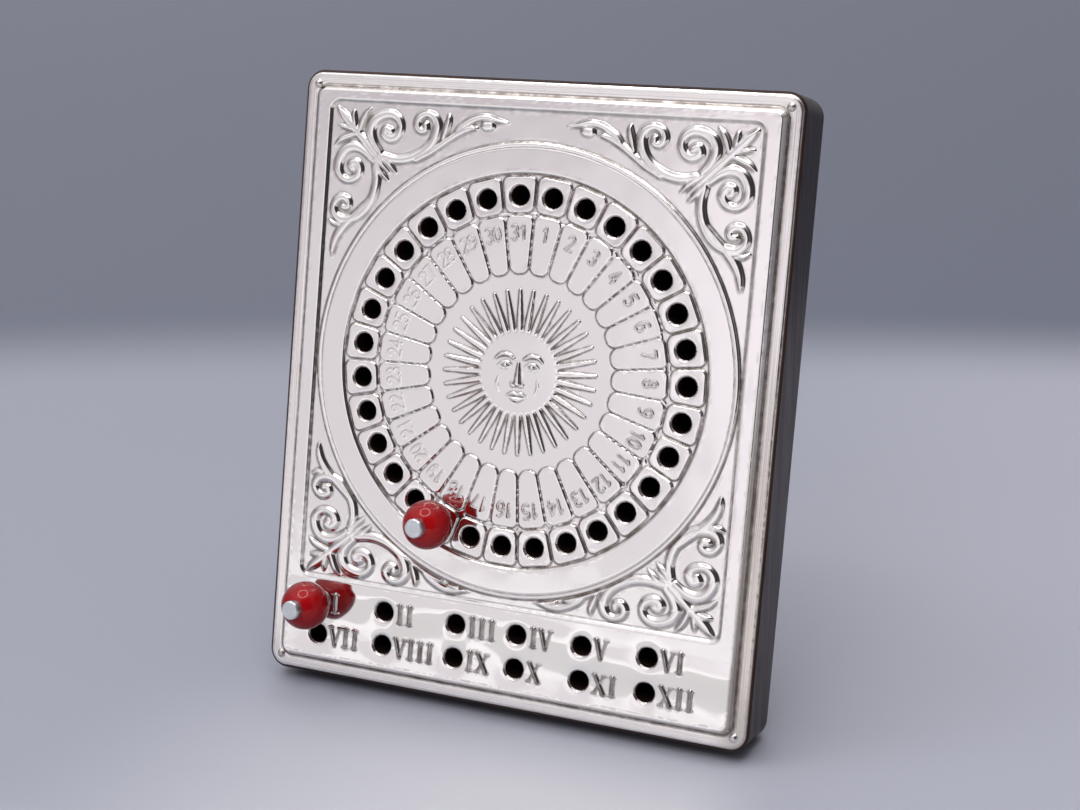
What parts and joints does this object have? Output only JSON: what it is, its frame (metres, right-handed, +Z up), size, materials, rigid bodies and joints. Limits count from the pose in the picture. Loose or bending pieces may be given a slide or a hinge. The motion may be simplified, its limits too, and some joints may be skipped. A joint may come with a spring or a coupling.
{
  "type": "perpetual desk calendar",
  "caption": "Leaning wooden board faced with an embossed silver sheet: a ring of day holes, two rows of month holes, two bead-topped marker pegs and a folding easel strut.",
  "frame": {"origin": "on the desk, in the middle of the standing object's footprint box", "axes": "+Z up, the embossed face looks towards -Y and leans back 11.7 degrees, +X to the reader's right"},
  "size_m": [0.1272, 0.0774, 0.1512],
  "materials": {
    "lacquered_wood": "dark brown stain under satin lacquer, fine grain",
    "silver_sheet": "polished, with warm tarnish in the grooves",
    "nail_metal": "polished, slightly tarnished",
    "peg_metal": "turned and satin polished",
    "red_bead": "deep red gloss",
    "hinge_brass": "lacquered, slightly dull",
    "hinge_steel": "bright"
  },
  "bodies": {
    "board": {"backing_board": "lacquered_wood", "face_sheet": "silver_sheet", "corner_nails": "nail_metal", "hinge_board_leaf": "hinge_brass", "hinge_pin": "hinge_steel", "hinge_board_screws": "hinge_brass"},
    "strut": {"easel_strut": "lacquered_wood", "hinge_strut_leaf": "hinge_brass", "hinge_strut_screws": "hinge_brass"},
    "day_peg": {"day_peg_rod": "peg_metal", "day_peg_bead": "red_bead"},
    "month_peg": {"month_peg_rod": "peg_metal", "month_peg_bead": "red_bead"}
  },
  "joints": [
    {"name": "strut_fold", "type": "hinge", "parent": "board", "child": "strut", "pos_m": [0, 0.0141, 0.0973], "axis": [-1, 0, 0], "range_deg": [0, 22]},
    {"name": "day_peg_pull", "type": "slide", "parent": "board", "child": "day_peg", "axis": [0, -0.9792, 0.2028], "range_m": [0, 0.022]},
    {"name": "month_peg_pull", "type": "slide", "parent": "board", "child": "month_peg", "axis": [0, -0.9792, 0.2028], "range_m": [0, 0.022]}
  ]
}
